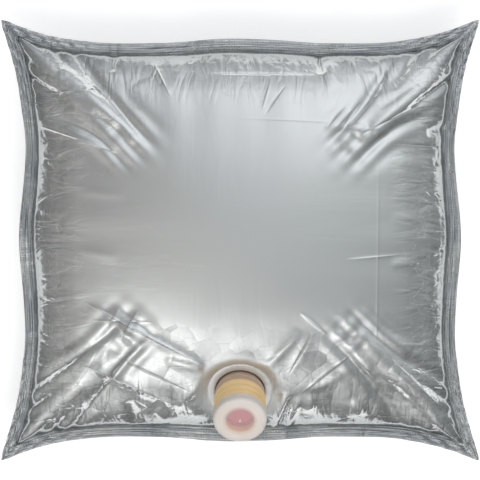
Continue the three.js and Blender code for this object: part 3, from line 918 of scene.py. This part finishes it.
for piece, node, body, slotName in (
        (filledBag, "bag", "bladder", "silver_film"), (spoutNeck, "spout", "bladder", "natural_plastic"),
        (valveBody, "valve_body", "bladder", "amber_plastic"), (poppetPlunger, "poppet", "valve", "red_plastic"),
        (sealRing, "poppet_seal", "valve", "black_rubber"), (dustCap, "dust_cap", "cap", "frosted_plastic")):
    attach(piece, body)
    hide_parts(node)
for piece in (weldRing, *sealRibs):
    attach(piece, "bladder")
print("pieces ride on their bodies")

# pale floor, soft light and the camera straight above, as the photograph was taken
studio = dict(floorReach=0.36, floorColour=(0.86, 0.86, 0.86), floorRoughness=0.9, floorGlow=0.42,
              cameraHeight=1.346, lens=116.1, sensor=36)


def makeFloor():
    reach = studio["floorReach"]
    mesh = bpy.data.meshes.new("floor")
    mesh.from_pydata([(-reach, -reach, 0), (reach, -reach, 0), (reach, reach, 0), (-reach, reach, 0)], [],
                     [(0, 1, 2, 3)])
    floor = addObject("floor", mesh)
    material, tree, shader = makeMaterial("paleFloor")
    # it glows where it is seen, reflected or looked at through something, but lights nothing matt
    ray = addNode(tree, "ShaderNodeLightPath").outputs
    seen = maths(tree, "MAXIMUM", ray["Is Glossy Ray"], ray["Is Transmission Ray"])
    seen = maths(tree, "MAXIMUM", ray["Is Camera Ray"], seen)
    feed(tree, shader, {
        "Base Color": (*studio["floorColour"], 1), "Roughness": studio["floorRoughness"], "Specular IOR Level": 0.0,
        "Emission Strength": product(tree, seen, studio["floorGlow"]), "Emission Color": (1, 1, 1, 1)})
    mesh.materials.append(material)


# the light's tint towards each side, and how bright it is there from straight above down to the horizon
softLight = dict(
    back=((0.955, 0.985, 1.02), [(0.0, 0.6), (0.10, 0.68), (0.30, 0.86), (0.52, 0.94), (0.85, 0.90), (1.0, 0.60)]),
    front=((0.99, 1.0, 0.995), [(0.0, 0.6), (0.15, 0.63), (0.27, 1.02), (0.40, 1.02), (0.60, 0.86), (0.85, 0.55),
                                (1.0, 0.30)]),
    left=((1.0, 1.0, 0.985), [(0.0, 0.6), (0.12, 0.57), (0.35, 0.50), (0.60, 0.46), (0.85, 0.42), (1.0, 0.30)]),
    right=((0.94, 0.99, 1.01), [(0.0, 0.6), (0.12, 0.60), (0.35, 0.54), (0.60, 0.46), (0.85, 0.42), (1.0, 0.34)]),
)
# how much the corners differ and how soon from straight above, and the brighter patch low over the front left
lightForm = dict(cornerContrast=0.40, cornerRise=2.2, patchWay=(-0.30, -0.50, 0.81), patchPower=22.0,
                 patchColour=(0.30, 0.30, 0.30))


def makeWorld():
    world = bpy.data.worlds.new("softStudio")
    scene.world = world
    world.use_nodes = True
    tree = world.node_tree
    way = addNode(tree, "ShaderNodeTexCoord").outputs["Generated"]
    parts = splitPlace(tree, way)
    fromTop = maths(tree, "DIVIDE", maths(tree, "ARCCOSINE", parts["Z"]), pi / 2)
    flat = maths(tree, "SUBTRACT", 1.0, product(tree, parts["Z"], parts["Z"]))
    flat = maths(tree, "MAXIMUM", flat, 1e-5)
    level = None
    for side, axis, sign in (("back", "Y", 1), ("front", "Y", -1), ("left", "X", -1), ("right", "X", 1)):
        tint, stops = softLight[side]
        facing = maths(tree, "MAXIMUM", product(tree, parts[axis], sign), 0.0)
        share = maths(tree, "DIVIDE", product(tree, facing, facing), flat)
        tone = rampOf(tree, fromTop, [(place, tuple(value * part for part in tint)) for place, value in stops])
        light = vectorMaths(tree, "SCALE", tone, share)
        level = light if level is None else vectorMaths(tree, "ADD", level, light)
    # brighter towards the back right and front left corners, darker towards the other two
    corner = maths(tree, "DIVIDE", product(tree, parts["X"], parts["Y"], 2.0), flat)
    contrast = maths(tree, "MINIMUM", product(tree, fromTop, lightForm["cornerRise"]), 1.0)
    contrast = product(tree, contrast, lightForm["cornerContrast"])
    patchWay = Vector(lightForm["patchWay"]).normalized()
    patch = maths(tree, "MAXIMUM", vectorMaths(tree, "DOT_PRODUCT", way, patchWay), 0.0)
    patch = vectorMaths(tree, "SCALE", lightForm["patchColour"], maths(tree, "POWER", patch, lightForm["patchPower"]))
    feed(tree, tree.nodes["Background"], {
        "Color": vectorMaths(tree, "ADD", level, patch),
        "Strength": maths(tree, "MULTIPLY_ADD", corner, contrast, 1.0)})


# one faint lamp over the front, turned towards the spout, in metres and watts
frontLamp = dict(place=(0.25, -0.9, 1.3), towards=(0, -0.1, 0.06), size=0.8, power=8)


def makeLamp():
    lamp = bpy.data.lights.new("frontBox", "AREA")
    lamp.size = frontLamp["size"]
    lamp.energy = frontLamp["power"]
    holder = addObject("frontBox", lamp)
    holder.location = frontLamp["place"]
    away = Vector(frontLamp["place"]) - Vector(frontLamp["towards"])
    holder.rotation_euler = away.to_track_quat("Z", "Y").to_euler()
    holder.visible_glossy = False


def makeCamera():
    lens = bpy.data.cameras.new("camera")
    lens.sensor_width = studio["sensor"]
    lens.lens = studio["lens"]
    scene.camera = addObject("camera", lens)
    scene.camera.location = (0, 0, studio["cameraHeight"])


makeFloor()
makeWorld()
makeLamp()
makeCamera()
scene.view_settings.view_transform = "Standard"
print("studio made")
